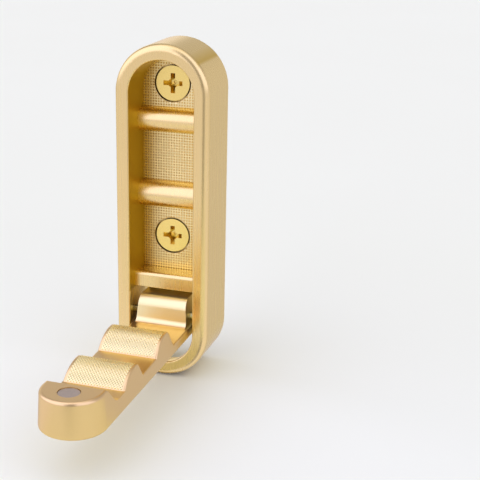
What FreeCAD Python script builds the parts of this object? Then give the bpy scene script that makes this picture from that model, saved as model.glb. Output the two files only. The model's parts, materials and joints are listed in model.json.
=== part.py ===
import FreeCAD, Part
import math
import os

# Folding wall hook, drawn open, in millimetres.
# X runs along the hinge pin, Y runs back into the wall and Z is up.
# The origin is the middle of the housing's back face, so the wall is the plane y = 0 and the front faces -Y.

# Housing: a long casting with full-round ends.
housing_width = 24.0
housing_height = 84.4
housing_depth = 15.4
front_edge_radius = 1.65
rim_width = 3.7
recess_depth = 8.6
recess_draft = 3.5
recess_edge_radius = 0.35

# Cross ribs that stand on the recess floor. The upper two meet the arm's valleys when it is folded,
# so their places and widths are shares of the arm's reach, counted from the pin.
rib_height = 3.4
upper_rib_share = 0.7612
upper_rib_width_share = 0.093
middle_rib_share = 0.4674
middle_rib_width_share = 0.1054
lower_rib_over_pin = 6.6
lower_rib_thickness = 4.0
lower_rib_height = 5.4
lower_rib_round = 1.0

# Hinge bay behind the rim, below the lower rib, and the notch in its lower wall.
rim_plate = 1.8
bay_wall = 1.6
bay_rise = 11.2
notch_width = 10.0
notch_depth = 7.4

# Hinge pin: pressed in from the left side, blind at the right.
pin_diameter = 2.0
pin_setback = 4.3
pin_rise = 15.7
pin_cover = 2.2
pin_sink = 0.3
pin_running_clearance = 0.05

# Arm. Its outer face is flush with the housing's front when it is folded.
side_gap = 0.63
tip_gap = 0.5
wall_gap = 0.1
magnet_gap = 0.1
arm_draft = 3.0
arm_outer_edge_radius = 0.6
arm_ridge_edge_radius = 0.45
tip_top_edge_radius = 0.8
knuckle_inset = 0.82
knuckle_draft = 4.5
knuckle_top_gap = 1.55
knuckle_face_out = 4.15
knuckle_lean = 7.0
knuckle_top_round = 2.9
knuckle_foot_round = 1.7
heel_inset = 3.6
stop_gap = 0.05
root_height = -1.8
ridge_drop = 1.15
ridge_back_radius = 1.9
ridge_flat = 0.6
ridge_back_slope = 57.0
first_ridge_share = 0.3116
second_ridge_share = 0.614
ridge_run_share = 0.1062
first_foot_height = -0.6
first_valley_height = -0.95
second_foot_height = -0.1
second_valley_height = -0.4
tip_step_run = 4.2
tip_block_share = 0.8589

# Magnet in the tip block.
magnet_diameter = 5.0
magnet_thickness = 2.0
magnet_share = 0.9132
magnet_pocket_clearance = 0.03
magnet_sink = 0.15

# Countersunk screws.
upper_screw_drop = 6.9
lower_screw_over_rib = 8.7
head_diameter = 8.6
head_rim = 0.4
head_sink = 0.1
head_gap = 0.4
counterbore_depth = 1.7
shank_diameter = 4.0
hole_clearance = 0.25
screw_length = 25.0
cross_span = 4.9
cross_width = 1.15
cross_depth = 1.9

# Places that follow from the sizes above.
front_y = -housing_depth
floor_y = front_y + recess_depth
recess_width = housing_width - 2 * rim_width
recess_height = housing_height - 2 * rim_width
pin_y = front_y + pin_setback
pin_z = pin_rise - housing_height / 2
bay_top_z = bay_rise - housing_height / 2
arm_outer = -pin_setback
arm_inner = arm_outer + recess_depth - magnet_gap
arm_width = recess_width - 2 * side_gap
arm_tip = recess_height / 2 - tip_gap - pin_z
arm_tail = -pin_y - wall_gap
ridge_height = arm_inner - ridge_drop
ridge_run = ridge_run_share * arm_tip
first_ridge = first_ridge_share * arm_tip
first_foot = first_ridge + ridge_run
second_ridge = second_ridge_share * arm_tip
second_foot = second_ridge + ridge_run
tip_block_start = tip_block_share * arm_tip
second_valley_end = tip_block_start - tip_step_run
magnet_offset = magnet_share * arm_tip
upper_rib_z = pin_z + upper_rib_share * arm_tip
upper_rib_width = upper_rib_width_share * arm_tip
middle_rib_z = pin_z + middle_rib_share * arm_tip
middle_rib_width = middle_rib_width_share * arm_tip
lower_rib_bottom_z = pin_z + lower_rib_over_pin
lower_rib_top_z = lower_rib_bottom_z + lower_rib_thickness
knuckle_top = lower_rib_over_pin - knuckle_top_gap
knuckle_width = arm_width - 2 * knuckle_inset
knuckle_top_out = knuckle_face_out - (knuckle_top - root_height) * math.tan(math.radians(knuckle_lean))
heel_start = pin_setback
heel_end = arm_tail - heel_inset
heel_height = lower_rib_over_pin - stop_gap
upper_screw_z = recess_height / 2 - upper_screw_drop
lower_screw_z = lower_rib_top_z + lower_screw_over_rib
counterbore_diameter = head_diameter + 2 * head_gap


def stadium(width, height, y, centre_z=0.0):
    """Closed wire of a full-round bar outline in the plane at y."""
    radius = width / 2
    straight = height / 2 - radius
    top_right = FreeCAD.Vector(radius, y, centre_z + straight)
    top_left = FreeCAD.Vector(-radius, y, centre_z + straight)
    low_left = FreeCAD.Vector(-radius, y, centre_z - straight)
    low_right = FreeCAD.Vector(radius, y, centre_z - straight)
    top = FreeCAD.Vector(0, y, centre_z + height / 2)
    low = FreeCAD.Vector(0, y, centre_z - height / 2)
    return Part.Wire([
        Part.Arc(top_right, top, top_left).toShape(),
        Part.makeLine(top_left, low_left),
        Part.Arc(low_left, low, low_right).toShape(),
        Part.makeLine(low_right, top_right),
    ])


def stadium_bar(width, height, y_from, y_to):
    """Straight bar with full-round ends between two depths."""
    face = Part.Face(stadium(width, height, y_from))
    return face.extrude(FreeCAD.Vector(0, y_to - y_from, 0))


def rounded_face(corners, x):
    """Face in the plane at x from (y, z, radius) corners, each rounded by its own radius."""
    count = len(corners)
    starts = []
    arcs = []
    for index, (y, z, radius) in enumerate(corners):
        here = FreeCAD.Vector(x, y, z)
        before = FreeCAD.Vector(x, corners[index - 1][0], corners[index - 1][1])
        after = FreeCAD.Vector(x, corners[(index + 1) % count][0], corners[(index + 1) % count][1])
        to_before = (before - here).normalize()
        to_after = (after - here).normalize()
        if radius == 0:
            starts.append((here, here))
            arcs.append(None)
            continue
        half = to_before.getAngle(to_after) / 2
        reach = radius / math.tan(half)
        first = here + to_before * reach
        last = here + to_after * reach
        middle_way = (to_before + to_after).normalize()
        middle = here + middle_way * (radius / math.sin(half) - radius)
        starts.append((first, last))
        arcs.append(Part.Arc(first, middle, last).toShape())
    edges = []
    for index in range(count):
        if arcs[index] is not None:
            edges.append(arcs[index])
        leave = starts[index][1]
        arrive = starts[(index + 1) % count][0]
        if leave.distanceToPoint(arrive) > 1e-6:
            edges.append(Part.makeLine(leave, arrive))
    return Part.Face(Part.Wire(edges))


def across(corners, width):
    """Solid of a side profile, centred on the middle plane and as wide as given."""
    face = rounded_face(corners, -width / 2)
    return face.extrude(FreeCAD.Vector(width, 0, 0))


def rod(diameter, x_from, x_to, y, z):
    """Round rod along X."""
    start = FreeCAD.Vector(x_from, y, z)
    return Part.makeCylinder(diameter / 2, x_to - x_from, start, FreeCAD.Vector(1, 0, 0))


def plug(diameter, y_from, y_to, z):
    """Round plug along Y."""
    start = FreeCAD.Vector(0, y_from, z)
    return Part.makeCylinder(diameter / 2, y_to - y_from, start, FreeCAD.Vector(0, 1, 0))


def housing_blank():
    """Outer body with its rounded front edge."""
    bar = stadium_bar(housing_width, housing_height, 0, front_y)
    front_edges = [e for e in bar.Edges if abs(e.BoundBox.YMax - front_y) < 1e-6]
    return bar.makeFillet(front_edge_radius, front_edges)


def recess_space():
    """Drafted pocket for the arm, open at the front."""
    narrowing = 2 * recess_depth * math.tan(math.radians(recess_draft))
    mouth = stadium(recess_width, recess_height, front_y)
    floor = stadium(recess_width - narrowing, recess_height - narrowing, floor_y)
    return Part.makeLoft([mouth, floor], True, True)


def round_rib(centre_z, width):
    """Half-round cross rib with its foot sunk in the floor."""
    radius = width / 2
    foot = 1.0
    crest_y = floor_y - rib_height
    corners = [
        (floor_y + foot, centre_z - radius, 0),
        (crest_y, centre_z - radius, radius - 0.01),
        (crest_y, centre_z + radius, radius - 0.01),
        (floor_y + foot, centre_z + radius, 0),
    ]
    return across(corners, recess_width + 1.0)


def lower_rib():
    """Flat-faced rib above the hinge, rounded along its top front edge."""
    foot = 1.0
    crest_y = floor_y - lower_rib_height
    corners = [
        (floor_y + foot, lower_rib_bottom_z, 0),
        (crest_y, lower_rib_bottom_z, 0.25),
        (crest_y, lower_rib_top_z, lower_rib_round),
        (floor_y + foot, lower_rib_top_z, 0),
    ]
    return across(corners, recess_width + 1.0)


def hinge_bay():
    """Open space behind the rim: a full-depth window for the arm's heel, and the hollow end below it."""
    window_centre = -recess_height / 2 + recess_width / 2
    window = stadium_bar(recess_width, recess_height, front_y, 0.0)
    window_keep = Part.makeBox(
        recess_width, housing_depth, recess_height / 2 + lower_rib_bottom_z,
        FreeCAD.Vector(-recess_width / 2, front_y, -recess_height / 2))
    window = window.common(window_keep)
    inner_width = housing_width - 2 * bay_wall
    inner_height = housing_height - 2 * bay_wall
    hollow = stadium_bar(inner_width, inner_height, front_y + rim_plate, 0.0)
    hollow_keep = Part.makeBox(
        inner_width, housing_depth - rim_plate, bay_top_z + inner_height / 2,
        FreeCAD.Vector(-inner_width / 2, front_y + rim_plate, -inner_height / 2))
    hollow = hollow.common(hollow_keep)
    notch_reach = housing_height / 2 + window_centre
    notch_end = notch_depth - notch_width / 2
    notch = Part.makeBox(
        notch_width, notch_end, notch_reach,
        FreeCAD.Vector(-notch_width / 2, -notch_end, -housing_height / 2))
    notch_round = Part.makeCylinder(
        notch_width / 2, notch_reach, FreeCAD.Vector(0, -notch_end, -housing_height / 2))
    return window.fuse([hollow, notch, notch_round])


def screw_hole(z):
    """Clearance hole, countersunk seat for the lower half of the head, and a counterbore round the head."""
    seat_y = floor_y + counterbore_depth
    seat_diameter = head_diameter - 2 * (counterbore_depth - head_sink - head_rim)
    cone_depth = (seat_diameter - shank_diameter) / 2
    hole = plug(shank_diameter + 2 * hole_clearance, floor_y, 0, z)
    bore = plug(counterbore_diameter, floor_y, seat_y, z)
    seat = Part.makeCone(
        seat_diameter / 2, shank_diameter / 2, cone_depth,
        FreeCAD.Vector(0, seat_y, z), FreeCAD.Vector(0, 1, 0))
    return hole.fuse([bore, seat])


def housing():
    body = housing_blank().cut(recess_space())
    ribs = [round_rib(upper_rib_z, upper_rib_width), round_rib(middle_rib_z, middle_rib_width), lower_rib()]
    rib_limit = stadium_bar(recess_width + 1.0, recess_height, front_y, -1.0)
    for rib in ribs:
        body = body.fuse(rib.common(rib_limit))
    body = body.cut(hinge_bay())
    for z in (upper_screw_z, lower_screw_z):
        body = body.cut(screw_hole(z))
    body = body.cut(rod(pin_diameter, -housing_width / 2, housing_width / 2 - pin_cover, pin_y, pin_z))
    mouth_edges = [e for e in body.Edges if on_recess_mouth(e)]
    return body.makeFillet(recess_edge_radius, mouth_edges).removeSplitter()


def on_recess_mouth(edge):
    """True for the edges where the recess opens in the front face."""
    box = edge.BoundBox
    in_front = abs(box.YMin - front_y) < 1e-6 and abs(box.YMax - front_y) < 1e-6
    reach = max(abs(box.XMin), abs(box.XMax))
    inside = reach < recess_width / 2 + 1e-3
    return in_front and inside and max(abs(box.ZMin), abs(box.ZMax)) < recess_height / 2 + 1e-3


def arm_point(along, above, radius=0.0):
    """Corner of the arm's side profile: distance out from the pin and height above it, drawn open."""
    return (pin_y - along, pin_z + above, radius)


def arm_plan():
    """Full-round plan of the arm, drafted from its outer face up to its inner side."""
    height = arm_inner - arm_outer
    wires = []
    for above in (0.0, height):
        inset = above * math.tan(math.radians(arm_draft))
        radius = arm_width / 2 - inset
        z = pin_z + arm_outer + above
        tip = pin_y - arm_tip + inset
        tail = pin_y + arm_tail - inset
        tip_left = FreeCAD.Vector(-radius, tip + radius, z)
        tip_right = FreeCAD.Vector(radius, tip + radius, z)
        tail_left = FreeCAD.Vector(-radius, tail - radius, z)
        tail_right = FreeCAD.Vector(radius, tail - radius, z)
        wires.append(Part.Wire([
            Part.Arc(tip_left, FreeCAD.Vector(0, tip, z), tip_right).toShape(),
            Part.makeLine(tip_right, tail_right),
            Part.Arc(tail_right, FreeCAD.Vector(0, tail, z), tail_left).toShape(),
            Part.makeLine(tail_left, tip_left),
        ]))
    plan = Part.makeLoft(wires, True, True)
    plan = plan.makeFillet(tip_top_edge_radius, edges_at_height(plan, arm_inner))
    return plan.makeFillet(arm_outer_edge_radius, edges_at_height(plan, arm_outer))


def edges_at_height(shape, above):
    """Edges that lie flat at one height above the pin."""
    level = pin_z + above
    found = []
    for edge in shape.Edges:
        box = edge.BoundBox
        if abs(box.ZMin - level) < 1e-6 and abs(box.ZMax - level) < 1e-6:
            found.append(edge)
    return found


def ridge_corners(crest, foot, foot_height, back_height):
    """Profile corners of one ridge: a steep rounded back, then a long convex face down to its foot."""
    rise = ridge_height - back_height
    back_run = rise / math.tan(math.radians(ridge_back_slope))
    back_reach = ridge_back_radius * math.tan(math.radians(ridge_back_slope / 2))
    back_corner = crest - ridge_flat - back_reach
    run = foot - crest
    drop = ridge_height - foot_height
    face_radius = (run * run + drop * drop) / (2 * drop)
    face_angle = math.asin(run / face_radius)
    face_corner = crest + face_radius * math.tan(face_angle / 2)
    return [
        arm_point(back_corner - back_run, back_height, 1.5),
        arm_point(back_corner, ridge_height, ridge_back_radius),
        arm_point(face_corner, ridge_height, face_radius),
        arm_point(foot, foot_height),
    ]


def arm_side():
    """Side profile of the arm at full width, from the tail to past the tip."""
    past_tip = arm_tip + 1.0
    past_tail = -arm_tail - 1.0
    corners = [
        arm_point(past_tail, arm_outer - 0.5),
        arm_point(past_tail, root_height),
    ]
    corners += ridge_corners(first_ridge, first_foot, first_foot_height, root_height)
    corners += ridge_corners(second_ridge, second_foot, second_foot_height, first_valley_height)
    corners += [
        arm_point(second_valley_end, second_valley_height, 4.0),
        arm_point(tip_block_start, arm_inner, 0.25),
        arm_point(past_tip, arm_inner),
        arm_point(past_tip, arm_outer - 0.5),
    ]
    return across(corners, arm_width + 2.0)


def knuckle():
    """Hinge knuckle, its face leaning back a little, with the heel that stops the arm when it is open."""
    low = arm_outer + 0.8
    foot_end = knuckle_face_out + knuckle_foot_round + 0.5
    heel_round = 0.2 * (heel_end - heel_start)
    corners = [
        arm_point(foot_end, low),
        arm_point(foot_end, root_height),
        arm_point(knuckle_face_out, root_height, knuckle_foot_round),
        arm_point(knuckle_top_out, knuckle_top, knuckle_top_round),
        arm_point(-heel_start + 0.9, knuckle_top, 0.6),
        arm_point(-heel_start, heel_height, 0.5),
        arm_point(-heel_end, heel_height, heel_round),
        arm_point(-heel_end, low),
    ]
    block = across(corners, knuckle_width)
    sides = []
    for above in (low, heel_height + 0.5):
        half = knuckle_width / 2 - (above - low) * math.tan(math.radians(knuckle_draft))
        z = pin_z + above
        front = pin_y - foot_end - 1.0
        back = pin_y + heel_end + 1.0
        sides.append(Part.makePolygon([
            FreeCAD.Vector(-half, front, z), FreeCAD.Vector(half, front, z),
            FreeCAD.Vector(half, back, z), FreeCAD.Vector(-half, back, z),
            FreeCAD.Vector(-half, front, z)]))
    return block.common(Part.makeLoft(sides, True, True))


def on_ridge_side(edge):
    """True for the side edges of the two ridges, from the back of each crest down to its foot."""
    box = edge.BoundBox
    out = pin_y - (box.YMin + box.YMax) / 2
    at_side = abs(box.XMax + box.XMin) / 2 > arm_width / 2 - 1.5
    along_side = box.XMax - box.XMin < 1.0
    on_top = pin_z + root_height - 0.3 < box.ZMax < pin_z + ridge_height + 0.01
    on_first = first_ridge - 4.5 < out < first_foot
    on_second = second_ridge - 4.5 < out < second_foot
    return at_side and along_side and on_top and (on_first or on_second)


def hook_arm():
    body = arm_plan().common(arm_side())
    body = body.makeFillet(arm_ridge_edge_radius, [e for e in body.Edges if on_ridge_side(e)])
    body = body.fuse(knuckle())
    bore = pin_diameter + 2 * pin_running_clearance
    body = body.cut(rod(bore, -arm_width, arm_width, pin_y, pin_z))
    pocket_diameter = magnet_diameter + 2 * magnet_pocket_clearance
    pocket_depth = magnet_thickness + magnet_sink
    pocket_floor = FreeCAD.Vector(0, pin_y - magnet_offset, pin_z + arm_inner - pocket_depth)
    pocket = Part.makeCylinder(pocket_diameter / 2, pocket_depth + 1.0, pocket_floor)
    return body.cut(pocket).removeSplitter()


def hinge_pin():
    start = -housing_width / 2 + pin_sink
    end = housing_width / 2 - pin_cover
    pin = rod(pin_diameter, start, end, pin_y, pin_z)
    return pin.makeChamfer(0.15, [e for e in pin.Edges if isinstance(e.Curve, Part.Circle)])


def tip_magnet():
    base = FreeCAD.Vector(0, pin_y - magnet_offset, pin_z + arm_inner - magnet_sink - magnet_thickness)
    disc = Part.makeCylinder(magnet_diameter / 2, magnet_thickness, base)
    return disc.makeFillet(0.15, [e for e in disc.Edges if isinstance(e.Curve, Part.Circle)])


def screw(z):
    """Countersunk wood screw with a cross recess, its thread left plain."""
    face_y = floor_y + head_sink
    rim_y = face_y + head_rim
    cone_depth = (head_diameter - shank_diameter) / 2
    point_length = 4.0
    end_y = face_y + screw_length
    body = plug(head_diameter, face_y, rim_y, z)
    body = body.fuse(Part.makeCone(
        head_diameter / 2, shank_diameter / 2, cone_depth,
        FreeCAD.Vector(0, rim_y, z), FreeCAD.Vector(0, 1, 0)))
    body = body.fuse(plug(shank_diameter, rim_y + cone_depth, end_y - point_length, z))
    body = body.fuse(Part.makeCone(
        shank_diameter / 2, 0.2, point_length,
        FreeCAD.Vector(0, end_y - point_length, z), FreeCAD.Vector(0, 1, 0)))
    return body.cut(cross_recess(face_y, z)).removeSplitter()


def cross_recess(face_y, z):
    """Two tapered slots across a small cone, as a cross-point driver needs."""
    tip_scale = 0.4
    solids = []
    for width, height in ((cross_span, cross_width), (cross_width, cross_span)):
        wires = []
        for scale, y in ((1.0, face_y), (tip_scale, face_y + cross_depth)):
            w = width * scale / 2 if width > height else width / 2
            h = height * scale / 2 if height > width else height / 2
            wires.append(Part.makePolygon([
                FreeCAD.Vector(-w, y, z - h),
                FreeCAD.Vector(w, y, z - h),
                FreeCAD.Vector(w, y, z + h),
                FreeCAD.Vector(-w, y, z + h),
                FreeCAD.Vector(-w, y, z - h),
            ]))
        solids.append(Part.makeLoft(wires, True, True))
    middle = Part.makeCone(
        cross_width * 1.05, 0.3, cross_depth + 0.2,
        FreeCAD.Vector(0, face_y, z), FreeCAD.Vector(0, 1, 0))
    return solids[0].fuse([solids[1], middle])


def main():
    os.makedirs("parts", exist_ok=True)
    pieces = {
        "housing": housing(),
        "hook_arm": hook_arm(),
        "hinge_pin": hinge_pin(),
        "tip_magnet": tip_magnet(),
        "screw_top": screw(upper_screw_z),
        "screw_lower": screw(lower_screw_z),
    }
    for name, shape in pieces.items():
        shape.exportStep("parts/" + name + ".step")
        print(name, "valid", shape.isValid(), "solids", len(shape.Solids), "volume", round(shape.Volume, 1))


main()
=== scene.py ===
# %% [markdown]
# A folding wall hook, dressed for its picture. The solids of the hook come ready made and are the
# frame of this scene. What is added here is what a maker does last: the satin brass finish, the cross
# knurling on the arm, the fine weave pressed into the recess floor, the threads of the two screws and
# the small press-here sign. The first cell loads the frame and keeps its size, which places the floor.

# %% Load the frame
import json
import math
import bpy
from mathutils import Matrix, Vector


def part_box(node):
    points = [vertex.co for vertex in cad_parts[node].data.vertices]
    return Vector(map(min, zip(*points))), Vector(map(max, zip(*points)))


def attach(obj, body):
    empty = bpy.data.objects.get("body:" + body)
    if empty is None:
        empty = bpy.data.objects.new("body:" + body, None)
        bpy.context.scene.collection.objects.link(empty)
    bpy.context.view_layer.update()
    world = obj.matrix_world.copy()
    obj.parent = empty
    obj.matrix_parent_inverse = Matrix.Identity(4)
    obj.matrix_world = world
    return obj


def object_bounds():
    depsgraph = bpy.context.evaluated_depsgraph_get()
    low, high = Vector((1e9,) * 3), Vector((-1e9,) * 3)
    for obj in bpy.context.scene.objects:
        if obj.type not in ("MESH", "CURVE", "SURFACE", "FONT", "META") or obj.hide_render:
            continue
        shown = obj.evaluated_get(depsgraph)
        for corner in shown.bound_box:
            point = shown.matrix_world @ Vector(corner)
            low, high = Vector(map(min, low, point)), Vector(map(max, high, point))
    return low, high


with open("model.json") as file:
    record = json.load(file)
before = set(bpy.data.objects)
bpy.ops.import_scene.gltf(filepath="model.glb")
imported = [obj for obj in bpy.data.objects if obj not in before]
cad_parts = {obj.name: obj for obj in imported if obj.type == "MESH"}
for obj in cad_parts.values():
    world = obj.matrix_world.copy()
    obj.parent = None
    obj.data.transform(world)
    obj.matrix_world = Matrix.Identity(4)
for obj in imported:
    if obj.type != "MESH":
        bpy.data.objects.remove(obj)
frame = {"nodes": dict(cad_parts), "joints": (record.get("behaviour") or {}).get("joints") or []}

from types import SimpleNamespace

import bmesh
import bpy
from mathutils import Vector

MM = 0.001
cad_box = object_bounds()
print("solids:", sorted(frame["nodes"]))
print("size in mm:", [round((cad_box[1][i] - cad_box[0][i]) / MM, 2) for i in range(3)])

# %% [markdown]
# A few places of the solids are needed again and again: the hinge's axis, the housing's front, the
# arm's flat outer face, and the ends and heights of the two screws. They are read from the frame, so
# that what is added here follows the solids. All lengths in this file are metres, unless it says
# millimetres, and MM turns one into the other.

# %% Places on the hook
pin_y, pin_z = frame["joints"][0]["pos_m"][1:]
housing_low, housing_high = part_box("housing")
housing_front = housing_low[1]
arm_outer_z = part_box("hook_arm")[0][2]
screw_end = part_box("screw_top")[1][1]
screw_heights = []
for screw in ("screw_top", "screw_lower"):
    screw_low, screw_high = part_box(screw)
    screw_heights.append((screw_low[2] + screw_high[2]) / 2)
print("hinge at", round(pin_y / MM, 2), round(pin_z / MM, 2), "mm")
print("screws at", [round(height / MM, 2) for height in screw_heights], "mm")

# %% [markdown]
# The camera stands where a product photographer puts it: a little above the hook and a little to its
# right, so that the recess, the side wall and the top of the open arm all show. Its angles come from
# fitting the outlines, and the long lens keeps the sides nearly parallel. The picture is shifted to
# set the hook left of the middle, because turning the camera would change the perspective.

# %% Camera
camera_yaw = math.radians(20.24)
camera_pitch = math.radians(18.16)
camera_distance = 290.86 * MM
camera_right_of_origin = 4.24 * MM
camera_above_origin = 10.02 * MM
lens_mm = 84.92
sensor_mm = 36
picture_side_px = 480
hook_left_of_middle_px = 75
nearest_seen = 10 * MM

backward = Vector((math.sin(camera_yaw) * math.cos(camera_pitch),
                   -math.cos(camera_yaw) * math.cos(camera_pitch),
                   math.sin(camera_pitch)))
forward = -backward
right = forward.cross(Vector((0, 0, 1))).normalized()
up = right.cross(forward)

camera_data = bpy.data.cameras.new("product_camera")
camera_data.lens = lens_mm
camera_data.sensor_width = sensor_mm
camera_data.shift_x = hook_left_of_middle_px / picture_side_px
camera_data.clip_start = nearest_seen
camera = bpy.data.objects.new("product_camera", camera_data)
bpy.context.collection.objects.link(camera)
camera.location = -right * camera_right_of_origin - up * camera_above_origin - forward * camera_distance
camera.rotation_euler = forward.to_track_quat("-Z", "Y").to_euler()
bpy.context.scene.camera = camera
print("camera at", [round(v, 3) for v in camera.location])

# %% [markdown]
# The light and every finish are small trees of nodes, and these helpers keep them short to read. One
# adds a node and joins or sets its inputs. The others wrap the nodes that come back most often: a sum,
# a value that rises between two limits, and a mix of two tones.

# %% Node helpers


def add(tree, kind, inputs=None, **settings):
    """Adds a node, sets its settings, and joins or sets the inputs that are given by name or number."""
    node = tree.nodes.new(kind)
    for name, value in settings.items():
        setattr(node, name, value)
    for name, value in (inputs or {}).items():
        if isinstance(value, bpy.types.NodeSocket):
            tree.links.new(value, node.inputs[name])
        else:
            node.inputs[name].default_value = value
    return node


def calculate(tree, operation, *values):
    """One sum of numbers or sockets."""
    return add(tree, "ShaderNodeMath", dict(enumerate(values)), operation=operation).outputs["Value"]


def rise(tree, value, low, high, start=0.0, end=1.0, **settings):
    """Goes from start to end while the value goes from low to high, and stays level outside them."""
    limits = {"Value": value, "From Min": low, "From Max": high, "To Min": start, "To Max": end}
    return add(tree, "ShaderNodeMapRange", limits, **settings).outputs["Result"]


def mix_tones(tree, share, first, second, blend="MIX"):
    """First where the share is 0 and second where it is 1. MULTIPLY lays the second over the first."""
    return add(tree, "ShaderNodeMix", {0: share, 6: first, 7: second},
               data_type="RGBA", blend_type=blend).outputs[2]


print("node helpers ready")

# %% [markdown]
# Metal shows little but what it reflects, so the studio is built as a sky of soft light. A sky does
# this better than lamps here, because it lights the floor evenly and leaves only soft shadows where
# the hook stands. Every direction in the sky has a turn, in degrees from straight before the hook
# towards the picture's right, and a climb, in degrees above the horizon.

# %% Directions in the sky
world = bpy.data.worlds.new("soft_studio")
bpy.context.scene.world = world
world.use_nodes = True
sky = world.node_tree
sky.nodes.clear()

looking = add(sky, "ShaderNodeTexCoord")
split = add(sky, "ShaderNodeSeparateXYZ", {0: looking.outputs["Generated"]})
ahead = calculate(sky, "MULTIPLY", split.outputs["Y"], -1.0)
turn = calculate(sky, "ARCTAN2", split.outputs["X"], ahead)
turn = calculate(sky, "MULTIPLY", turn, math.degrees(1))
climb = calculate(sky, "ARCSINE", split.outputs["Z"])
climb = calculate(sky, "MULTIPLY", climb, math.degrees(1))
print("sky turned into degrees with", len(sky.nodes), "nodes")

# %% [markdown]
# The sky itself is a little dim behind the hook, dimmer higher up behind it, and bright overhead.
# Below the horizon, in front, it stands in for the bright floor of the studio. Each change is smooth,
# because a hard edge in the sky would show as a line in the brass.

# %% Sky light
sky_behind = 0.71
sky_high_behind = 0.49
sky_overhead = 1.15
sky_below = 0.96
dimming_climbs = (10, 35)
overhead_climbs = (52, 70)
below_climbs = (-5, -20)
below_turns = (-120, 120)
below_soft = 12


def sky_step(value, low, high):
    """Rises smoothly from 0 to 1 while the value goes from low to high."""
    return rise(sky, value, low, high, interpolation_type="SMOOTHSTEP")


def sky_band(value, start, end, soft):
    """1 between start and end, with soft edges."""
    rising = sky_step(value, start - soft, start + soft)
    falling = sky_step(value, end - soft, end + soft)
    return calculate(sky, "SUBTRACT", rising, falling)


def sky_blend(share, first, second):
    """First where the share is 0 and second where it is 1."""
    return add(sky, "ShaderNodeMix", {0: share, 2: first, 3: second}, data_type="FLOAT").outputs[0]


light = sky_blend(sky_step(climb, *dimming_climbs), sky_behind, sky_high_behind)
light = sky_blend(sky_step(climb, *overhead_climbs), light, sky_overhead)
in_front = sky_band(turn, *below_turns, below_soft)
low_in_front = calculate(sky, "MULTIPLY", in_front, sky_step(climb, *below_climbs))
light = sky_blend(low_in_front, light, sky_below)
print("sky light ready")

# %% [markdown]
# Two tall soft boxes stand in front, left and right, with a dark gap between them where a camera would
# be. The gap draws the thin dark line where the front edge starts to turn, and darkens the walls of
# the recess. A low white card behind, at the left, is what the flat top of the arm's tip mirrors.
# The softness of an edge is in degrees too.

# %% Soft boxes
left_box_turns = (-105, -3)
right_box_turns = (32, 100)
gap_turns = (left_box_turns[1], right_box_turns[0])
box_climbs = (1, 84)
cards = {
    "back_card": dict(strength=1.12, turns=(-163, -134), turn_soft=5, climbs=(2, 19), climb_soft=3),
    "left_box": dict(strength=1.45, turns=left_box_turns, turn_soft=3, climbs=box_climbs, climb_soft=6),
    "right_box": dict(strength=1.30, turns=right_box_turns, turn_soft=4, climbs=box_climbs, climb_soft=6),
    "gap": dict(strength=0.40, turns=gap_turns, turn_soft=3, climbs=(-60, 50), climb_soft=10),
}
card_places = {}
for name, card in cards.items():
    across = sky_band(turn, *card["turns"], card["turn_soft"])
    upward = sky_band(climb, *card["climbs"], card["climb_soft"])
    card_places[name] = calculate(sky, "MULTIPLY", across, upward)
    light = sky_blend(card_places[name], light, card["strength"])
    print(name, "has strength", card["strength"])

# %% [markdown]
# The soft boxes are a shade bluer than the rest of the sky, as flash lamps are, which keeps the
# highlights on the brass from turning orange. Where a low view looks past the floor, the camera meets
# a plain backdrop of the floor's own pale grey and not the soft boxes.

# %% Sky colour and backdrop
sky_colour = (1.01, 0.956, 1.25, 1)
box_colour = (0.99, 0.966, 1.56, 1)
backdrop_grey = (0.88, 0.88, 0.885, 1)

in_a_box = calculate(sky, "MAXIMUM", card_places["left_box"], card_places["right_box"])
tone = mix_tones(sky, in_a_box, sky_colour, box_colour)
glow = add(sky, "ShaderNodeBackground", {"Color": tone, "Strength": light})
backdrop = add(sky, "ShaderNodeBackground", {"Color": backdrop_grey, "Strength": 1.0})
seen = add(sky, "ShaderNodeLightPath").outputs["Is Camera Ray"]
studio = add(sky, "ShaderNodeMixShader", {
    0: seen, 1: glow.outputs["Background"], 2: backdrop.outputs["Background"]})
add(sky, "ShaderNodeOutputWorld", {"Surface": studio.outputs["Shader"]})
bpy.context.scene.view_settings.view_transform = "Standard"
print("sky nodes:", len(sky.nodes))

# %% [markdown]
# The hook stands on a plain pale floor, large enough that no horizon shows. The floor is made as three
# round plates, before the arm's tip, beside it and at the housing's foot, and a wide ring. All look
# the same, but only the plates show in the brass, so the other reflections stay those of the studio.

# %% Floor
floor_z = cad_box[0][2]
round_steps = 96
near_floor_radius = 38 * MM
near_floor_centre = (0.0, -97 * MM)
far_floor_radius = 9.0
side_floor_radius = 58 * MM
side_floor_centre = (50 * MM, -90 * MM)
foot_floor_radius = 13 * MM
foot_floor_centre = (-3 * MM, -29 * MM)
plate_lift = 0.01 * MM


def floor_piece(name, inner, outer, centre, lift=0.0):
    """Flat disc, or ring when inner isn't 0, on the floor plane."""
    radii = (inner, outer) if inner else (outer,)
    points = []
    for radius in radii:
        for step in range(round_steps):
            angle = 2 * math.pi * step / round_steps
            x = centre[0] + radius * math.cos(angle)
            y = centre[1] + radius * math.sin(angle)
            points.append((x, y, floor_z + lift))
    faces = []
    if inner:
        for step in range(round_steps):
            after = (step + 1) % round_steps
            faces.append((step, round_steps + step, round_steps + after, after))
    else:
        faces.append(tuple(range(round_steps)))
    mesh = bpy.data.meshes.new(name)
    mesh.from_pydata(points, [], faces)
    piece = bpy.data.objects.new(name, mesh)
    bpy.context.collection.objects.link(piece)
    return piece


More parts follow.
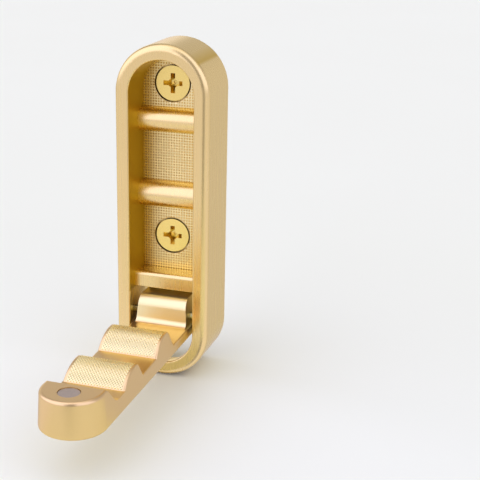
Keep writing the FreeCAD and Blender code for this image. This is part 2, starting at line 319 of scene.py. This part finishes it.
near_floor = floor_piece("near_floor", 0, near_floor_radius, near_floor_centre)
far_floor = floor_piece("far_floor", near_floor_radius, far_floor_radius, near_floor_centre)
side_floor = floor_piece("side_floor", 0, side_floor_radius, side_floor_centre, plate_lift)
foot_floor = floor_piece("foot_floor", 0, foot_floor_radius, foot_floor_centre, 2 * plate_lift)
far_floor.visible_glossy = False
print("floor at z", round(floor_z / MM, 2), "mm")

# %% [markdown]
# Two more helpers serve the finishes: one starts a material and hands back its shader, the other lays
# a ramp of tones over a value.

# %% Material helpers


def start_finish(name):
    """A new material, its tree and its main shader."""
    material = bpy.data.materials.new(name)
    material.use_nodes = True
    tree = material.node_tree
    return material, tree, tree.nodes["Principled BSDF"]


def ramp(tree, value, stops):
    """Colour ramp through (place, colour) stops."""
    node = add(tree, "ShaderNodeValToRGB", {"Fac": value})
    elements = node.color_ramp.elements
    while len(elements) > 1:
        elements.remove(elements[-1])
    elements[0].position = stops[0][0]
    elements[0].color = (*stops[0][1], 1)
    for place, colour in stops[1:]:
        elements.new(place).color = (*colour, 1)
    return node.outputs["Color"]


print("material helpers ready")

# %% [markdown]
# The floor is painted board: a matt cream that the cool studio light turns nearly white. Close to the
# hook it is painted a little paler and bluer, a painted light that lifts the shade and the warm glow
# that brass throws on a white table, and it has the faintest unevenness, so that it doesn't look like
# an empty page.

# %% Floor finish
board_tones = [(0.3, (0.885, 0.92, 0.612)), (0.7, (0.891, 0.926, 0.618))]
# Painted light that lifts the floor close to the hook.
painted_lift_tone = (0.918, 0.957, 0.658, 1)
lift_centre = (0, -50 * MM, floor_z)
lift_full_within = 30 * MM
lift_gone_beyond = 160 * MM
mottle_scale = 9.0
matt = 0.9

board, tree, shader = start_finish("pale_board")
coords = add(tree, "ShaderNodeTexCoord").outputs["Object"]
mottle = add(tree, "ShaderNodeTexNoise", {"Vector": coords, "Scale": mottle_scale, "Detail": 3.0})
tint = ramp(tree, mottle.outputs["Fac"], board_tones)
away = add(tree, "ShaderNodeVectorMath", {0: coords, 1: lift_centre}, operation="DISTANCE").outputs["Value"]
# Painted light, full near the hook and gone far from it.
painted_lift = rise(tree, away, lift_gone_beyond, lift_full_within, interpolation_type="SMOOTHSTEP")
tree.links.new(mix_tones(tree, painted_lift, tint, painted_lift_tone), shader.inputs["Base Color"])
shader.inputs["Roughness"].default_value = matt
shader.inputs["Specular IOR Level"].default_value = 0.0
for plate in (near_floor, side_floor, foot_floor, far_floor):
    plate.data.materials.append(board)
print("floor wears", board.name)

# %% [markdown]
# Satin brass: the casting is bead blasted and then brushed lightly along its length, and lacquered.
# The colour comes from the metal's own reflection, so the shader is fully metallic. Long thin noise
# streaks change the gloss a little and tilt the surface by a hair, which spreads each highlight along
# the part, as brushing does. A brass is started first, then darkened with painted shade in its
# corners and given tones by place: painted shade on the housing's recess walls, painted light on the
# arm's knuckle, and the rim's tone on the arm's outer face. The lacquer comes last. The triples say
# how often the noise repeats in a metre along X, Y and Z, so a brushed surface has many narrow
# streaks side by side and few along its length.

# %% Start a brass
brushed_upward = (1300, 1300, 30)
brushed_outward = (1300, 30, 1300)
only_blasted = (900, 900, 900)
streak_range = (0.3, 0.7)
gloss_drop = 0.01
gloss_gain = 0.02
patch_scale = 70.0
patch_low = 0.35
patch_high = 0.65


def start_brass(name, colour, deep_colour, gloss, streak_scale):
    """Bare brass with streaks and faint patches. Its tone and dulling can still be changed by place."""
    material, tree, shader = start_finish(name)
    coords = add(tree, "ShaderNodeTexCoord")
    stretch = add(tree, "ShaderNodeMapping", {"Vector": coords.outputs["Object"], "Scale": streak_scale})
    streaks = add(tree, "ShaderNodeTexNoise", {
        "Vector": stretch.outputs["Vector"], "Scale": 1.0, "Detail": 2.0}).outputs["Fac"]
    patches = add(tree, "ShaderNodeTexNoise", {
        "Vector": coords.outputs["Object"], "Scale": patch_scale, "Detail": 2.0}).outputs["Fac"]
    return SimpleNamespace(
        material=material, tree=tree, shader=shader, streaks=streaks,
        place=add(tree, "ShaderNodeSeparateXYZ", {0: coords.outputs["Object"]}).outputs,
        own_normal=coords.outputs["Normal"],
        tone=ramp(tree, patches, [(patch_low, deep_colour), (patch_high, colour)]),
        dulling=rise(tree, streaks, *streak_range, gloss - gloss_drop, gloss + gloss_gain))


print("brass can be started")

# %% [markdown]
# Tight corners are painted darker: a painted shade for the dark that falls where surfaces close in on
# each other. An ambient occlusion node finds them: it tells how much of the sky each spot sees within a
# short reach, and a ramp turns that into a brown tone, near black in the tightest spots, to multiply
# by. The lacquer joins everything to the shader and gives grazing angles a warm tint.

# %% Painted corner shade and lacquer
corner_shade_reach = 3.5 * MM
corner_shade_samples = 16
# Tones of the painted corner shade, from the tightest corners to the open.
corner_shade_tones = [
    (0.0, (0.03, 0.015, 0.003)), (0.3, (0.46, 0.34, 0.10)),
    (0.55, (0.95, 0.92, 0.82)), (0.8, (1, 1, 1))]
grazing_tint = (0.96, 0.94, 0.72, 1)


def paint_corner_shade(brass, share):
    """Multiplies the tone by the painted corner shade, as strongly as the share says."""
    corners = add(brass.tree, "ShaderNodeAmbientOcclusion", {"Distance": corner_shade_reach}, samples=corner_shade_samples)
    painted_shade = ramp(brass.tree, corners.outputs["AO"], corner_shade_tones)
    brass.tone = mix_tones(brass.tree, share, brass.tone, painted_shade, "MULTIPLY")


def tone_spot(brass, spot, tone, more_dulling=0.0):
    """Gives the place where spot is 1 a tone of its own, and makes it duller."""
    brass.tone = mix_tones(brass.tree, spot, brass.tone, tone)
    if more_dulling:
        brass.dulling = calculate(brass.tree, "MULTIPLY_ADD", spot, more_dulling, brass.dulling)


def lacquer(brass, grain_depth):
    """Joins tone, dulling and grain to the shader and hands back the finished material."""
    grain = add(brass.tree, "ShaderNodeBump", {
        "Height": brass.streaks, "Distance": grain_depth, "Strength": 1.0})
    brass.tree.links.new(brass.tone, brass.shader.inputs["Base Color"])
    brass.tree.links.new(brass.dulling, brass.shader.inputs["Roughness"])
    brass.tree.links.new(grain.outputs["Normal"], brass.shader.inputs["Normal"])
    brass.shader.inputs["Metallic"].default_value = 1.0
    brass.shader.inputs["Specular Tint"].default_value = grazing_tint
    return brass.material


print("stain and lacquer ready")

# %% [markdown]
# The housing is brushed upward. Its recess walls are made duller and painted a deeper, darker tone: a
# painted shade. The painted wall shade stops at the hinge bay, where the painted corner shade is at its
# full strength instead; above the bay it is at about a third. The walls are found by two facts: they
# look sideways, and they lie nearer the middle than the housing's own outer sides.

# %% Housing brass
housing_tone = (0.893, 0.690, 0.266)
# Painted shade for the recess walls, which are also made duller.
wall_painted_shade = (0.66, 0.445, 0.028, 1)
wall_dulling = 0.2
wall_facing = (0.55, 0.85)
wall_places = (9.5 * MM, 9.0 * MM)
bay_top = -20.0 * MM
bay_blend = 0.6 * MM
# How strongly the painted corner shade darkens the housing above the hinge bay and in it.
above_bay_painted_shade = 0.34
bay_painted_shade = 1.0

housing = start_brass("housing_satin_brass", housing_tone, (0.881, 0.678, 0.258),
                      gloss=0.27, streak_scale=brushed_upward)
above_bay = rise(housing.tree, housing.place["Z"], bay_top - bay_blend, bay_top)
# Painted corner shade, full in the hinge bay and weaker above it.
paint_corner_shade(housing, rise(housing.tree, above_bay, 0.0, 1.0, bay_painted_shade, above_bay_painted_shade))
facing = add(housing.tree, "ShaderNodeSeparateXYZ", {
    0: add(housing.tree, "ShaderNodeNewGeometry").outputs["Normal"]}).outputs
sideways = rise(housing.tree, calculate(housing.tree, "ABSOLUTE", facing["X"]), *wall_facing)
inside = rise(housing.tree, calculate(housing.tree, "ABSOLUTE", housing.place["X"]), *wall_places)
walls = calculate(housing.tree, "MULTIPLY", sideways, inside)
walls = calculate(housing.tree, "MULTIPLY", walls, above_bay)
# Painted shade on the recess walls.
tone_spot(housing, walls, wall_painted_shade, wall_dulling)
housing_brass = lacquer(housing, grain_depth=0.00015 * MM)
print(housing_brass.name, "has", len(housing.tree.nodes), "nodes")

# %% [markdown]
# The arm is brushed outward, and gets a weaker painted corner shade. Its knuckle, which turns in the
# housing, is painted paler than the rest and made duller: a painted light.
# Its flat outer face, which looks down when the arm is open, is as yellow as the housing's rim, so
# that the folded arm and the rim look like one piece. That face is found by the arm's own normal,
# which turns with the arm, and not by a direction in the world.

# %% Arm brass
# The knuckle's paler tone is painted light.
knuckle_painted_light = (0.98, 0.85, 0.38, 1)
knuckle_dulling = 0.08
knuckle_front = (housing_front - 0.5 * MM, housing_front + 0.1 * MM)
knuckle_foot = (arm_outer_z + 0.5 * MM, arm_outer_z + 1.1 * MM)
outer_facing = (-0.8, -0.95)

arm = start_brass("arm_satin_brass", (0.828, 0.597, 0.250), (0.816, 0.586, 0.244),
                  gloss=0.30, streak_scale=brushed_outward)
# Painted corner shade on the arm, at about a third of its strength.
paint_corner_shade(arm, share=0.35)
# Painted light on the knuckle, found by its place near the hinge and above the outer face.
near_hinge = rise(arm.tree, arm.place["Y"], *knuckle_front)
above_plate = rise(arm.tree, arm.place["Z"], *knuckle_foot)
tone_spot(arm, calculate(arm.tree, "MULTIPLY", near_hinge, above_plate), knuckle_painted_light, knuckle_dulling)
own_facing = add(arm.tree, "ShaderNodeSeparateXYZ", {0: arm.own_normal}).outputs
tone_spot(arm, rise(arm.tree, own_facing["Z"], *outer_facing), (*housing_tone, 1))
arm_brass = lacquer(arm, grain_depth=0.00012 * MM)
print(arm_brass.name, "has", len(arm.tree.nodes), "nodes")

# %% [markdown]
# The screws are a yellower brass, and the knurl's cut facets are the palest, because cutting leaves
# bright metal. Neither is brushed. In the pressed floor of the recess the lines are bright and the
# pits dull, and both are painted browner towards the left wall: a painted shade of that wall. All
# four get the painted corner shade.

# %% Screw, knurl and weave brass
blast_depth = 0.0008 * MM
shade_places = (-8 * MM, 8 * MM)
shade_end = 0.55


def blasted_brass(name, colour, deep_colour, gloss, painted_shade, left_wall_painted_shade=None):
    """Brass without brush marks, with painted corner shade, and with painted shade towards the left wall
    where it is given.
    """
    brass = start_brass(name, colour, deep_colour, gloss, only_blasted)
    paint_corner_shade(brass, painted_shade)
    # Painted shade that darkens the weave towards the left wall.
    if left_wall_painted_shade:
        across = rise(brass.tree, brass.place["X"], *shade_places)
        shade = ramp(brass.tree, across, [(0.0, left_wall_painted_shade), (shade_end, (1, 1, 1))])
        brass.tone = mix_tones(brass.tree, 1.0, brass.tone, shade, "MULTIPLY")
    return lacquer(brass, blast_depth)


# Each of these brasses gets painted corner shade at the strength given.
screw_brass = blasted_brass("screw_brass", (1.0, 0.78, 0.215), (0.985, 0.765, 0.205), gloss=0.24, painted_shade=0.35)
cut_brass = blasted_brass("cut_brass", (0.965, 0.84, 0.38), (0.94, 0.81, 0.35), gloss=0.27, painted_shade=0.3)
pit_brass = blasted_brass("pit_brass", (0.92, 0.69, 0.24), (0.84, 0.62, 0.21), gloss=0.40, painted_shade=0.3,
                          left_wall_painted_shade=(0.42, 0.33, 0.21))
line_brass = blasted_brass("line_brass", (1.0, 0.86, 0.38), (0.98, 0.83, 0.35), gloss=0.27, painted_shade=0.15,
                           left_wall_painted_shade=(0.78, 0.70, 0.52))
print("four more brasses ready")

# %% [markdown]
# The hinge pin is a ground steel rod and the magnet is nickel plated. Steel is nearly colourless, and
# its grinding marks run round it. The magnet is duller and a shade warmer and darker.

# %% Steel and nickel
scratch_depth = 0.003 * MM
scratch_low = 0.35
scratch_high = 0.65
scratch_drop = 0.05
scratch_gain = 0.08


def plain_metal_finish(name, light, dark, gloss, scratch_scale):
    """Grey metal with fine scratches in one direction."""
    material, tree, shader = start_finish(name)
    coords = add(tree, "ShaderNodeTexCoord")
    stretch = add(tree, "ShaderNodeMapping", {"Vector": coords.outputs["Object"], "Scale": scratch_scale})
    scratches = add(tree, "ShaderNodeTexNoise", {
        "Vector": stretch.outputs["Vector"], "Scale": 1.0, "Detail": 5.0}).outputs["Fac"]
    tone = ramp(tree, scratches, [(scratch_low, dark), (scratch_high, light)])
    dulling = rise(tree, scratches, 0.0, 1.0, gloss - scratch_drop, gloss + scratch_gain)
    grain = add(tree, "ShaderNodeBump", {"Height": scratches, "Distance": scratch_depth})
    tree.links.new(tone, shader.inputs["Base Color"])
    tree.links.new(dulling, shader.inputs["Roughness"])
    tree.links.new(grain.outputs["Normal"], shader.inputs["Normal"])
    shader.inputs["Metallic"].default_value = 1.0
    return material


pin_steel = plain_metal_finish("ground_steel", (0.765, 0.785, 0.62), (0.667, 0.683, 0.54), gloss=0.18,
                               scratch_scale=(3000, 300, 300))
magnet_nickel = plain_metal_finish("dull_nickel", (0.575, 0.49, 0.33), (0.525, 0.45, 0.30), gloss=0.34,
                                   scratch_scale=(900, 900, 900))
print("steel and nickel ready")

# %% [markdown]
# Each solid of the frame already has a slot for its finish. The new finish is put in that slot, and
# the solid itself isn't touched.

# %% Dress the solids
finishes = {
    "housing": housing_brass, "hook_arm": arm_brass, "hinge_pin": pin_steel,
    "tip_magnet": magnet_nickel, "screw_top": screw_brass, "screw_lower": screw_brass,
}
for node_name, finish in finishes.items():
    for slot in frame["nodes"][node_name].material_slots:
        slot.material = finish
    print(node_name, "wears", finish.name)

# %% [markdown]
# Everything that is added to the hook is built in a bmesh, which is a mesh that can be edited point by
# point. These helpers turn a finished one into an object, give a thin skin some thickness on its
# hidden side, and close a row of rings into a solid tube.

# %% Mesh helpers


def finish_mesh(name, made, *materials):
    """Turns the bmesh into an object that wears the materials."""
    mesh = bpy.data.meshes.new(name)
    made.to_mesh(mesh)
    made.free()
    for material in materials:
        mesh.materials.append(material)
    piece = bpy.data.objects.new(name, mesh)
    bpy.context.collection.objects.link(piece)
    return piece


def add_backing(piece, thickness):
    """Thickens a skin on its hidden side."""
    backing = piece.modifiers.new("backing", "SOLIDIFY")
    backing.thickness = thickness
    backing.offset = -1


def close_tube(made, rings):
    """Joins each ring to the next one and caps both ends."""
    for first, last in zip(rings, rings[1:]):
        for corner in range(len(first)):
            other = (corner + 1) % len(first)
            made.faces.new((first[corner], first[other], last[other], last[corner]))
    made.faces.new(rings[0])
    made.faces.new(rings[-1])


print("mesh helpers ready")

# %% [markdown]
# Between the ribs the recess floor has a fine square weave pressed into it. It could be drawn with a
# bump alone, but real ridges catch the two soft boxes from four sides, so it is built as a mesh: a
# grid of flat-topped lines with a small pit in each square. First come its sizes. A line takes the
# share weave_line of each pitch, and each area runs from one height of the recess to another. The top
# area is pressed less deep, because the folded arm's tip comes within a tenth of a millimetre of the
# recess floor there. The three smallest lengths only catch rounding.

# %% Weave sizes
recess_floor_y = -6.8 * MM
weave_clearance = 0.01 * MM
weave_thickness = 0.15 * MM
weave_pitch = 0.68 * MM
weave_line = 0.30
weave_half_width = 7.68 * MM
recess_straight = -housing_low[2] - housing_high[0]
counterbore_radius = 4.7 * MM
counterbore_margin = 0.06 * MM
least_reach = 1e-6
least_move = 1e-7
merge_within = 1e-8
weave_areas = {
    "weave_top": {"low": 25.62 * MM, "high": 37.9 * MM, "line_height": 0.07 * MM},
    "weave_middle": {"low": 7.07 * MM, "high": 19.58 * MM, "line_height": 0.12 * MM},
    "weave_lower": {"low": -15.88 * MM, "high": 0.23 * MM, "line_height": 0.12 * MM},
}
print("the recess turns round above", round(recess_straight / MM, 2), "mm")

# %% [markdown]
# Grid points that fall over a rib, a wall or a screw are pulled back to its edge and lie flush, so each
# patch ends in a clean outline. The outline has three parts: the area's own rectangle, the round top of
# the recess, and the counterbores of the screws.

# %% Weave outline


def pull_inside(x, z, low, high):
    """Nearest point of the patch, and whether the point had to move."""
    new_z = min(max(z, low), high)
    new_x = min(max(x, -weave_half_width), weave_half_width)
    if new_z > recess_straight:
        reach = math.hypot(new_x, new_z - recess_straight)
        if reach > weave_half_width:
            new_x *= weave_half_width / reach
            new_z = recess_straight + (new_z - recess_straight) * weave_half_width / reach
    keep_off = counterbore_radius + counterbore_margin
    for screw_z in screw_heights:
        reach = math.hypot(new_x, new_z - screw_z)
        if reach < keep_off:
            grow = keep_off / max(reach, least_reach)
            new_x *= grow
            new_z = screw_z + (new_z - screw_z) * grow
    moved = math.hypot(new_x - x, new_z - z) > least_move
    return new_x, new_z, moved


top = weave_areas["weave_top"]
corner_x, corner_z, _ = pull_inside(weave_half_width, top["high"], top["low"], top["high"])
print("the top patch's corner moves to", round(corner_x / MM, 2), round(corner_z / MM, 2), "mm")

# %% [markdown]
# The grid has three places a pitch: both edges of a line, and the middle of the pit that follows. A
# point is low where it is the middle of a pit both ways, or where it had to be pulled. All others
# stand proud of the floor.

# %% Weave grid


def grid_places(low, high):
    """Places along one side of the grid: both edges of each line and the middle of each pit."""
    places = []
    first = math.floor(low / weave_pitch)
    last = math.ceil(high / weave_pitch)
    for cell in range(first, last + 1):
        for share, kind in ((0.0, "line"), (weave_line, "line"), ((1 + weave_line) / 2, "pit")):
            places.append(((cell + share) * weave_pitch, kind))
    return places


def weave_points(made, low, high, line_height):
    """Rows of (point, moved) over one area, with the pits low and the lines proud."""
    across_places = grid_places(-weave_half_width, weave_half_width)
    rows = []
    for z, z_kind in grid_places(low, high):
        row = []
        for x, x_kind in across_places:
            new_x, new_z, moved = pull_inside(x, z, low, high)
            in_pit = x_kind == "pit" and z_kind == "pit"
            height = 0.0 if moved or in_pit else line_height
            y = recess_floor_y - weave_clearance - height
            row.append((made.verts.new((new_x, y, new_z)), moved))
        rows.append(row)
    return rows


print("places in one pitch:", len(grid_places(0, 0)))

# %% [markdown]
# The rows of points are joined into squares. A square between two lines each way belongs to a pit, and
# gets the dull brass. All else is line. Squares whose four corners were pulled lie outside the patch
# and are left out. Points that were pulled onto each other are merged, and the faces are cut into
# triangles, so that none is bent.

# %% Weave patches


def weave_patch(name, low, high, line_height):
    """One patch of pressed weave on the recess floor."""
    made = bmesh.new()
    rows = weave_points(made, low, high, line_height)
    for index, (lower, upper) in enumerate(zip(rows, rows[1:])):
        for column in range(len(lower) - 1):
            corners = [lower[column], lower[column + 1], upper[column + 1], upper[column]]
            if all(moved for _, moved in corners):
                continue
            face = made.faces.new([vert for vert, _ in corners])
            face.material_index = 1 if column % 3 and index % 3 else 0
    bmesh.ops.delete(made, geom=[v for v in made.verts if not v.link_faces], context="VERTS")
    bmesh.ops.remove_doubles(made, verts=made.verts, dist=merge_within)
    bmesh.ops.triangulate(made, faces=made.faces)
    piece = finish_mesh(name, made, line_brass, pit_brass)
    add_backing(piece, weave_thickness)
    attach(piece, "base")
    return piece


for name, area in weave_areas.items():
    piece = weave_patch(name, **area)
    print(name, "has", len(piece.data.polygons), "faces")

# %% [markdown]
# The knurl has to follow the ridges of the arm, so their side profile is drawn again here: a straight
# back slope, a round, a short flat crest, and a long curved face down to the foot. First come its
# sizes, in millimetres, outward from the hinge pin and upward from it.

# %% Ridge sizes
arm_reach = 64.5
ridge_top = 3.05
ridge_flat = 0.6
ridge_back_radius = 1.9
ridge_back_slope = math.radians(57)
ridge_back_length = 1.3
ridge_run = 0.1062 * arm_reach
ridges = {
    "knurl_first": {"crest": 0.3116 * arm_reach, "foot_height": -0.6},
    "knurl_second": {"crest": 0.614 * arm_reach, "foot_height": -0.1},
}
print("crests:", [round(ridge["crest"], 1) for ridge in ridges.values()], "mm from the hinge")

# %% [markdown]
# The profile is a function of the way walked along it, which spaces the knurl evenly. For each way it
# gives the point and the direction that leads out of the metal there.

# %% Arm profile


def on_arc(centre, radius, angle):
    """A point of an arc, and the direction from its centre."""
    normal = (math.cos(angle), math.sin(angle))
    return (centre[0] + radius * normal[0], centre[1] + radius * normal[1]), normal


def ridge_profile(crest, foot_height):
    """The profile as a function, from way to point and outward direction, and its whole length."""
    drop = ridge_top - foot_height
    face_radius = (ridge_run ** 2 + drop ** 2) / (2 * drop)
    face_centre = (crest, ridge_top - face_radius)
    face_arc = face_radius * math.asin(ridge_run / face_radius)
    back_centre = (crest - ridge_flat, ridge_top - ridge_back_radius)
    back_arc = ridge_back_radius * ridge_back_slope
    back_start = math.pi / 2 + ridge_back_slope

    def place(way):
        if way < ridge_back_length:
            end, normal = on_arc(back_centre, ridge_back_radius, back_start)
            left = ridge_back_length - way
            out = end[0] - left * math.cos(ridge_back_slope)
            above = end[1] - left * math.sin(ridge_back_slope)
            return (out, above), normal
        way -= ridge_back_length
        if way < back_arc:
            return on_arc(back_centre, ridge_back_radius, back_start - way / ridge_back_radius)
        way -= back_arc
        if way < ridge_flat:
            return (back_centre[0] + way, ridge_top), (0.0, 1.0)
        way -= ridge_flat
        return on_arc(face_centre, face_radius, math.pi / 2 - way / face_radius)

    return place, ridge_back_length + back_arc + ridge_flat + face_arc


for name, ridge in ridges.items():
    place, length = ridge_profile(**ridge)
    print(name, "covers", round(length, 2), "mm from", [round(v, 2) for v in place(0)[0]])

# %% [markdown]
# The two ridges of the arm are knurled so that a hanger doesn't slide. A diamond knurl is two sets of
# slanting grooves. On a lattice of points that is simply every second point high and the others low,
# with each square split along its low diagonal. The knurl stops a little short of both sides of the
# arm, where the real one leaves a plain strip, and the arm's sides are drafted, so it is narrower than
# the arm's outer face. Its outermost points are sunk into the arm, so no edge of the skin lifts off.
# The sizes are in millimetres, but for the thickness of the skin.

# %% Knurl sizes
knurl_step_across = 0.36
knurl_step_along = 0.40
knurl_height = 0.10
knurl_low = 0.012
knurl_sunk = -0.03
knurl_margin = 0.55
knurl_start = 0.03
knurl_short_of_foot = 0.1
knurl_thickness = 0.1 * MM
arm_half_width = 7.67
arm_draft = math.radians(3)
ridge_above_outer_face = ridge_top + (pin_z - arm_outer_z) / MM
knurl_half_width = arm_half_width - ridge_above_outer_face * math.tan(arm_draft) - knurl_margin
print("the knurl is", round(2 * knurl_half_width, 2), "mm wide")

# %% [markdown]
# The lattice is laid row by row along the profile. Each point is lifted off the profile along its
# outward direction, and then carried from millimetres at the hinge pin to metres in the frame.

# %% Knurl lattice
knurl_columns = 2 * round(knurl_half_width / knurl_step_across)


def knurl_point(made, place, way, x, lift):
    """One lattice point, lifted off the profile along its outward direction."""
    (out, above), normal = place(way)
    y = pin_y - (out + lift * normal[0]) * MM
    z = pin_z + (above + lift * normal[1]) * MM
    return made.verts.new((x * MM, y, z))


def knurl_rows(made, crest, foot_height):
    """Rows of (point, high) over one ridge, with every second point high."""
    place, length = ridge_profile(crest, foot_height)
    stretch = length - knurl_short_of_foot
    count = round(stretch / knurl_step_along)
    rows = []
    for index in range(count + 1):
        way = knurl_start + stretch * index / count
        row = []
        for column in range(knurl_columns + 1):
            x = -knurl_half_width + 2 * knurl_half_width * column / knurl_columns
            high = (index + column) % 2 == 1
            at_edge = index in (0, count) or column in (0, knurl_columns)
            lift = knurl_sunk if at_edge else (knurl_height if high else knurl_low)
            row.append((knurl_point(made, place, way, x, lift), high))
        rows.append(row)
    return rows


print("lattice points across the arm:", knurl_columns + 1)

# %% [markdown]
# The lattice becomes a skin when each square is split along its low diagonal, which leaves a pyramid
# round every high point. The skin has no thickness of its own, so it gets a backing, which is hidden
# in the arm.

# %% Knurled skins


def knurled_skin(name, crest, foot_height):
    """Diamond-knurled skin over one ridge."""
    made = bmesh.new()
    rows = knurl_rows(made, crest, foot_height)
    for lower, upper in zip(rows, rows[1:]):
        for column in range(knurl_columns):
            (a, a_high), (b, _) = lower[column], lower[column + 1]
            (c, _), (d, _) = upper[column + 1], upper[column]
            facets = ((a, b, d), (b, c, d)) if a_high else ((a, b, c), (a, c, d))
            for facet in facets:
                made.faces.new(facet)
    bmesh.ops.recalc_face_normals(made, faces=made.faces)
    piece = finish_mesh(name, made, cut_brass)
    add_backing(piece, knurl_thickness)
    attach(piece, "arm")
    return piece


for name, ridge in ridges.items():
    piece = knurled_skin(name, **ridge)
    print(name, "has", len(piece.data.polygons), "facets")

# %% [markdown]
# The screws are solids with plain shanks. Their threads are wound here as thin ridges round the part
# that stands out behind the housing. First come their sizes, and the radius of the shank, which tapers
# over its point.

# %% Thread sizes
thread_pitch = 1.6 * MM
thread_height = 0.22 * MM
thread_half_width = 0.3 * MM
thread_root_sunk = 0.06 * MM
thread_start = 0.8 * MM
thread_end = screw_end - 0.7 * MM
thread_steps_a_turn = 28
thread_fade_steps = 12
thread_least = 0.05
point_length = 4.0 * MM
point_radius = 0.2 * MM
shank_radius = 2.0 * MM


def shank_radius_at(y):
    """Radius of the shank, which tapers over its point."""
    left = screw_end - y
    if left > point_length:
        return shank_radius
    return point_radius + (shank_radius - point_radius) * max(left, 0) / point_length


print("the shank's radius is", round(shank_radius_at(thread_end) / MM, 2), "mm where the thread ends")

# %% [markdown]
# A thread is a small triangle carried round a helix. It grows out of the shank over its first steps and
# fades again over its last ones, on the tapered point.

# %% Screw threads


def screw_thread(name, screw_z):
    """Helical ridge round one shank."""
    stretch = thread_end - thread_start
    steps = int(stretch / thread_pitch * thread_steps_a_turn)
    made = bmesh.new()
    rings = []
    for step in range(steps + 1):
        y = thread_start + stretch * step / steps
        angle = 2 * math.pi * step / thread_steps_a_turn
        fade = min(1.0, step / thread_fade_steps, (steps - step) / thread_fade_steps + thread_least)
        root = shank_radius_at(y) - thread_root_sunk
        crest = root + (thread_height + thread_root_sunk) * max(fade, thread_least)
        ring = []
        for radius, along in ((root, -thread_half_width), (crest, 0.0), (root, thread_half_width)):
            x = radius * math.cos(angle)
            z = screw_z + radius * math.sin(angle)
            ring.append(made.verts.new((x, y + along, z)))
        rings.append(ring)
    close_tube(made, rings)
    bmesh.ops.recalc_face_normals(made, faces=made.faces)
    piece = finish_mesh(name, made, screw_brass)
    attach(piece, "base")
    return piece


for name, screw_z in zip(("thread_top", "thread_lower"), screw_heights):
    piece = screw_thread(name, screw_z)
    print(name, "has", len(piece.data.polygons), "faces")

# %% [markdown]
# The arm's outer face carries a small etched sign near the hinge end, where a thumb has to press to
# swing the arm out: a hand with one finger stretched and an arc round its tip. It is drawn as a few
# strokes of points in millimetres, to the right and outward from the hinge pin. A few rounds of corner
# cutting, which puts two points on each side at a quarter from its ends, turn each stroke into a soft
# curve, so that few points are enough.

# %% Sign strokes
sign_strokes = {
    "finger": [(-1.1, -0.4), (-1.0, 2.6), (-0.85, 4.4), (0.0, 5.3), (0.85, 4.4), (0.8, 2.0), (0.6, -0.9)],
    "arc": [(-2.1, 3.2), (-2.35, 4.9), (-1.5, 6.7), (0.2, 7.2), (1.9, 6.3), (2.5, 4.5), (2.2, 2.6)],
    "thumb": [(-1.9, -1.5), (-2.7, 0.4), (-3.6, 1.5), (-4.5, 1.4), (-4.6, 0.5), (-3.3, -2.2), (-2.4, -4.4),
              (-1.7, -6.3), (-0.6, -7.0), (1.6, -7.0), (3.2, -6.0), (3.8, -4.3), (3.6, -2.4)],
    "knuckle_line": [(-1.9, -1.5), (-1.0, -0.9), (0.0, -0.8)],
    "second_finger": [(0.7, 0.6), (1.2, 1.3), (1.9, 0.7), (1.8, -1.0)],
    "third_finger": [(1.95, 0.2), (2.5, 0.5), (2.95, -0.2), (2.7, -1.6)],
    "little_finger": [(3.0, -0.5), (3.5, -0.4), (3.9, -1.2), (3.6, -2.4)],
}


def smooth_stroke(points, rounds=3):
    """Rounds a stroke by cutting its corners a few times, with both ends kept."""
    for _ in range(rounds):
        cut = [points[0]]
        for first, last in zip(points, points[1:]):
            for share in (0.25, 0.75):
                cut.append(tuple((1 - share) * start + share * end for start, end in zip(first, last)))
        cut.append(points[-1])
        points = cut
    return points


print("strokes:", {name: len(smooth_stroke(points)) for name, points in sign_strokes.items()})

# %% [markdown]
# An etched line is frosted: duller and browner than the brass round it, with a fine grain. The grain is
# far smaller than a pixel, and only keeps the line from being one flat colour up close.

# %% Etched finish
frosting_scale = 6000.0
etched_tones = [(0.3, (0.40, 0.294, 0.11)), (0.7, (0.52, 0.40, 0.17))]
frosted = 0.5

etched, tree, shader = start_finish("etched_line")
coords = add(tree, "ShaderNodeTexCoord").outputs["Object"]
frosting = add(tree, "ShaderNodeTexNoise", {"Vector": coords, "Scale": frosting_scale})
tree.links.new(ramp(tree, frosting.outputs["Fac"], etched_tones), shader.inputs["Base Color"])
shader.inputs["Metallic"].default_value = 1.0
shader.inputs["Roughness"].default_value = frosted
print(etched.name, "ready")

# %% [markdown]
# Each stroke is turned into a thin flat ribbon, because an etched line has one width and a dull floor.
# The ribbons stand proud of the outer face by a hair, which is enough to show, and reach a little into
# the arm, so that no light comes through under them. Their sizes are in millimetres, like the strokes.

# %% Press-here sign
sign_line = 0.30
sign_proud = 0.02
sign_sunk = -0.05


def sign_ribbon(made, points):
    """Adds one closed flat ribbon along a stroke."""
    rings = []
    for index, (x, out) in enumerate(points):
        before = points[max(index - 1, 0)]
        after = points[min(index + 1, len(points) - 1)]
        way = Vector((after[0] - before[0], after[1] - before[1])).normalized()
        side = Vector((-way.y, way.x)) * sign_line / 2
        ring = []
        for hand, proud in ((1, sign_proud), (-1, sign_proud), (-1, sign_sunk), (1, sign_sunk)):
            spot_x = (x + hand * side.x) * MM
            spot_y = pin_y - (out + hand * side.y) * MM
            ring.append(made.verts.new((spot_x, spot_y, arm_outer_z - proud * MM)))
        rings.append(ring)
    close_tube(made, rings)


made = bmesh.new()
for stroke in sign_strokes.values():
    sign_ribbon(made, smooth_stroke(stroke))
bmesh.ops.recalc_face_normals(made, faces=made.faces)
press_sign = finish_mesh("press_sign", made, etched)
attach(press_sign, "arm")
print("sign strokes:", len(sign_strokes), "faces:", len(press_sign.data.polygons))
